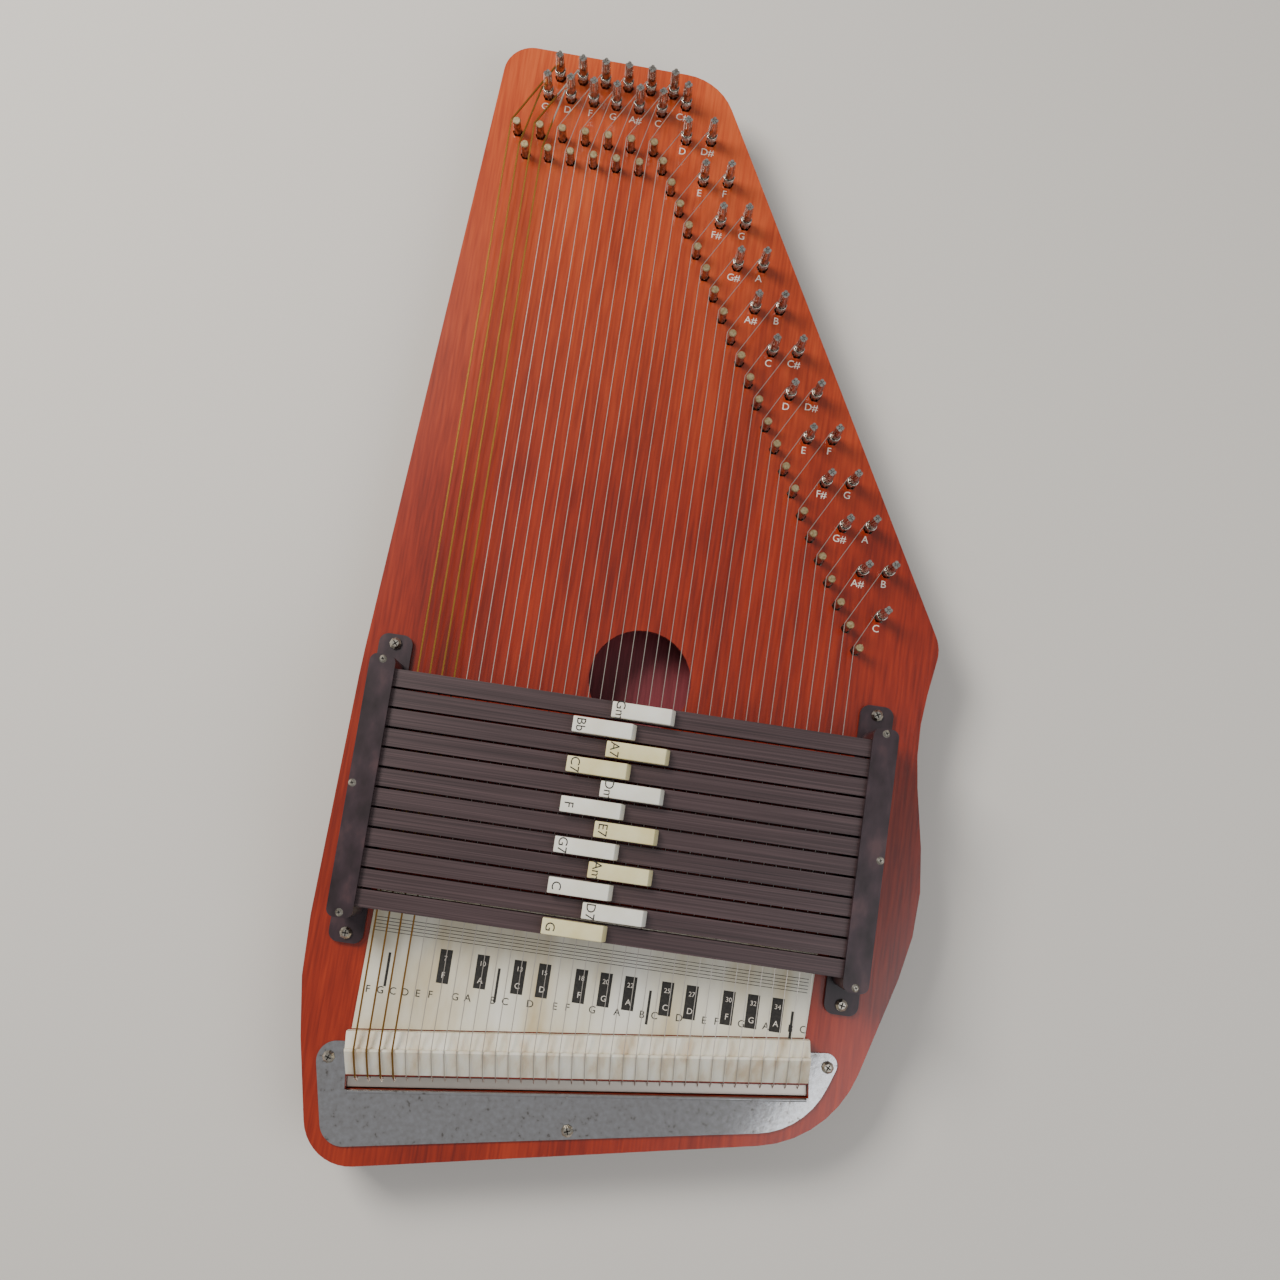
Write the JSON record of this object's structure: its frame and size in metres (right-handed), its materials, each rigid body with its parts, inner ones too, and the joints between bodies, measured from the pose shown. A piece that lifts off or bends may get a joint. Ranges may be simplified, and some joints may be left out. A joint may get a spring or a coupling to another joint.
{
  "type": "autoharp",
  "caption": "Chorded zither: strings over a flat soundboard with a round sound hole, and sprung chord bars with felts that damp them.",
  "frame": {"origin": "middle of the box around the instrument, at the bottom of its feet", "axes": "+Z out of the soundboard, +Y along the strings to the tuning pins, +X along the chord bars to the treble side"},
  "size_m": [0.3092, 0.6068, 0.0758],
  "materials": {
    "wood_top": "glossy red mahogany lacquer",
    "wood_dark": "dark satin lacquer",
    "wood_core": "bare maple",
    "chrome": "worn bright chrome",
    "steel": "nickel-plated steel",
    "ivory": "aged cream plastic",
    "brown": "dark brown, satin",
    "bar": "brown satin paint",
    "felt": "red felt",
    "paper": "aged printed card",
    "rubber": "black rubber"
  },
  "bodies": {
    "body": {"back_panel": "wood_dark", "bass_holder_base": "brown", "bass_holder_cover": "brown", "bass_rail": "wood_dark", "bridge": "ivory", "foot_tail": "rubber", "foot_top": "rubber", "foot_treble": "rubber", "holder_screw_bass_lower": "steel", "holder_screw_bass_upper": "steel", "holder_screw_treble_lower": "steel", "holder_screw_treble_upper": "steel", "note_chart": "paper", "pin_block": "wood_core", "plate_screw_bass": "steel", "plate_screw_middle": "steel", "plate_screw_treble": "steel", "soundboard": "wood_top", "string_set": "steel", "tail_block": "wood_core", "tailpiece_plate": "chrome", "treble_holder_base": "brown", "treble_holder_cover": "brown", "treble_rail": "wood_dark"},
    "bar_a_minor": {"chord_bar_a_minor": "bar", "button_a_minor": "ivory", "felt_a_minor": "felt"},
    "bar_a_seventh": {"chord_bar_a_seventh": "bar", "button_a_seventh": "ivory", "felt_a_seventh": "felt"},
    "bar_b_flat_major": {"chord_bar_b_flat_major": "bar", "button_b_flat_major": "ivory", "felt_b_flat_major": "felt"},
    "bar_c_major": {"chord_bar_c_major": "bar", "button_c_major": "ivory", "felt_c_major": "felt"},
    "bar_c_seventh": {"chord_bar_c_seventh": "bar", "button_c_seventh": "ivory", "felt_c_seventh": "felt"},
    "bar_d_minor": {"chord_bar_d_minor": "bar", "button_d_minor": "ivory", "felt_d_minor": "felt"},
    "bar_d_seventh": {"chord_bar_d_seventh": "bar", "button_d_seventh": "ivory", "felt_d_seventh": "felt"},
    "bar_e_seventh": {"chord_bar_e_seventh": "bar", "button_e_seventh": "ivory", "felt_e_seventh": "felt"},
    "bar_f_major": {"chord_bar_f_major": "bar", "button_f_major": "ivory", "felt_f_major": "felt"},
    "bar_g_major": {"chord_bar_g_major": "bar", "button_g_major": "ivory", "felt_g_major": "felt"},
    "bar_g_minor": {"chord_bar_g_minor": "bar", "button_g_minor": "ivory", "felt_g_minor": "felt"},
    "bar_g_seventh": {"chord_bar_g_seventh": "bar", "button_g_seventh": "ivory", "felt_g_seventh": "felt"}
  },
  "joints": [
    {"name": "press_a_minor", "type": "slide", "parent": "body", "child": "bar_a_minor", "axis": [0, 0, -1], "range_m": [0, 0.0045], "stiffness_N_per_m": 300, "springref_m": -0.003},
    {"name": "press_a_seventh", "type": "slide", "parent": "body", "child": "bar_a_seventh", "axis": [0, 0, -1], "range_m": [0, 0.0045], "stiffness_N_per_m": 300, "springref_m": -0.003},
    {"name": "press_b_flat_major", "type": "slide", "parent": "body", "child": "bar_b_flat_major", "axis": [0, 0, -1], "range_m": [0, 0.0045], "stiffness_N_per_m": 300, "springref_m": -0.003},
    {"name": "press_c_major", "type": "slide", "parent": "body", "child": "bar_c_major", "axis": [0, 0, -1], "range_m": [0, 0.0045], "stiffness_N_per_m": 300, "springref_m": -0.003},
    {"name": "press_c_seventh", "type": "slide", "parent": "body", "child": "bar_c_seventh", "axis": [0, 0, -1], "range_m": [0, 0.0045], "stiffness_N_per_m": 300, "springref_m": -0.003},
    {"name": "press_d_minor", "type": "slide", "parent": "body", "child": "bar_d_minor", "axis": [0, 0, -1], "range_m": [0, 0.0045], "stiffness_N_per_m": 300, "springref_m": -0.003},
    {"name": "press_d_seventh", "type": "slide", "parent": "body", "child": "bar_d_seventh", "axis": [0, 0, -1], "range_m": [0, 0.0045], "stiffness_N_per_m": 300, "springref_m": -0.003},
    {"name": "press_e_seventh", "type": "slide", "parent": "body", "child": "bar_e_seventh", "axis": [0, 0, -1], "range_m": [0, 0.0045], "stiffness_N_per_m": 300, "springref_m": -0.003},
    {"name": "press_f_major", "type": "slide", "parent": "body", "child": "bar_f_major", "axis": [0, 0, -1], "range_m": [0, 0.0045], "stiffness_N_per_m": 300, "springref_m": -0.003},
    {"name": "press_g_major", "type": "slide", "parent": "body", "child": "bar_g_major", "axis": [0, 0, -1], "range_m": [0, 0.0045], "stiffness_N_per_m": 300, "springref_m": -0.003},
    {"name": "press_g_minor", "type": "slide", "parent": "body", "child": "bar_g_minor", "axis": [0, 0, -1], "range_m": [0, 0.0045], "stiffness_N_per_m": 300, "springref_m": -0.003},
    {"name": "press_g_seventh", "type": "slide", "parent": "body", "child": "bar_g_seventh", "axis": [0, 0, -1], "range_m": [0, 0.0045], "stiffness_N_per_m": 300, "springref_m": -0.003}
  ]
}
